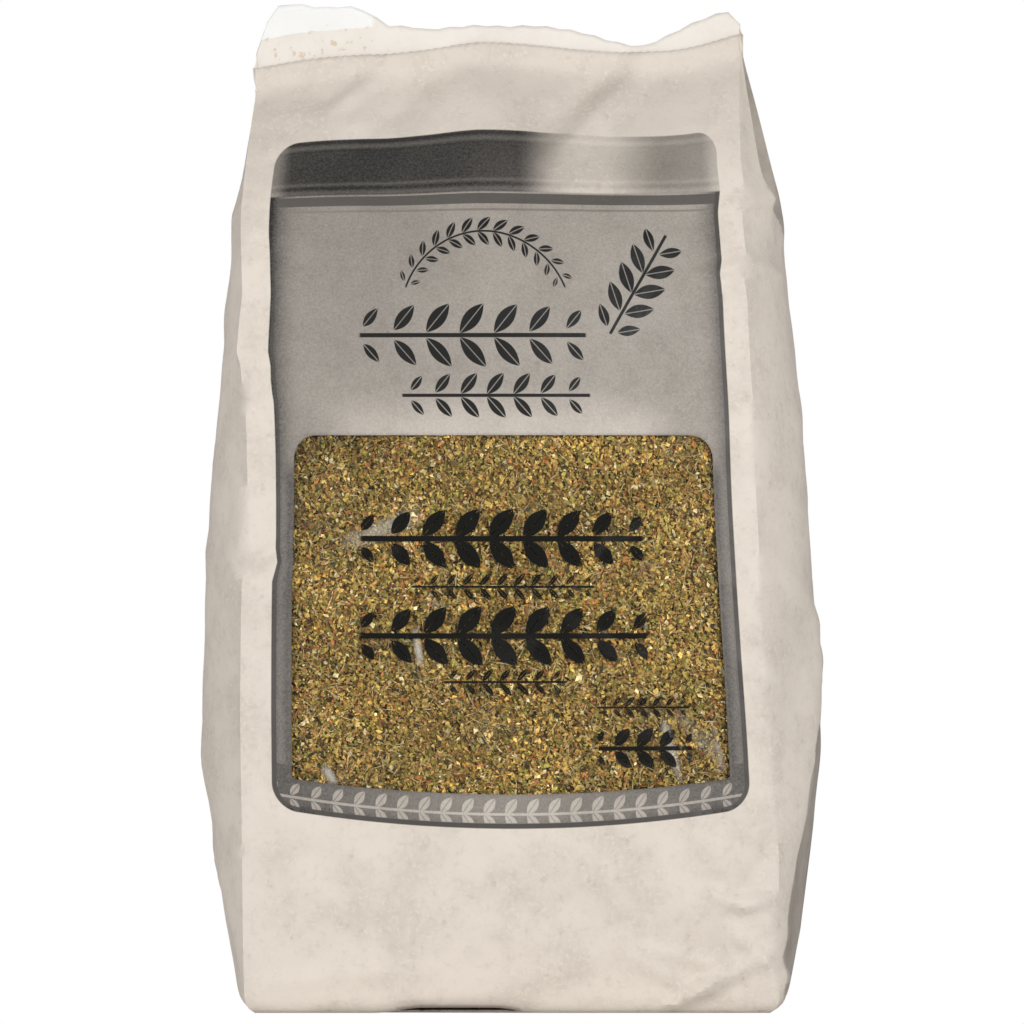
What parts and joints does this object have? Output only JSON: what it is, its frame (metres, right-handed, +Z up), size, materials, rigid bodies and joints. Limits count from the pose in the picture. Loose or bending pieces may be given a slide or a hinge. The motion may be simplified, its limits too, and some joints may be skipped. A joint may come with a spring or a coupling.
{
  "type": "paper bag of dried marjoram with a clear window",
  "caption": "A side-gusset white paper bag with a sealed, wavy top and a clear film window in its front, filled with crushed dried marjoram and standing on its folded bottom.",
  "frame": {"origin": "middle of the bag's bottom, on the surface it stands on", "axes": "+Z up, -Y out of the front panel with the window, +X to the viewer's right"},
  "size_m": [0.123, 0.0614, 0.1998],
  "materials": {
    "paper": "matt",
    "film": "glossy",
    "herb": "matt"
  },
  "bodies": {
    "root": {"paper_bag": "paper", "window_film": "film", "dried_marjoram": "herb"}
  },
  "joints": []
}
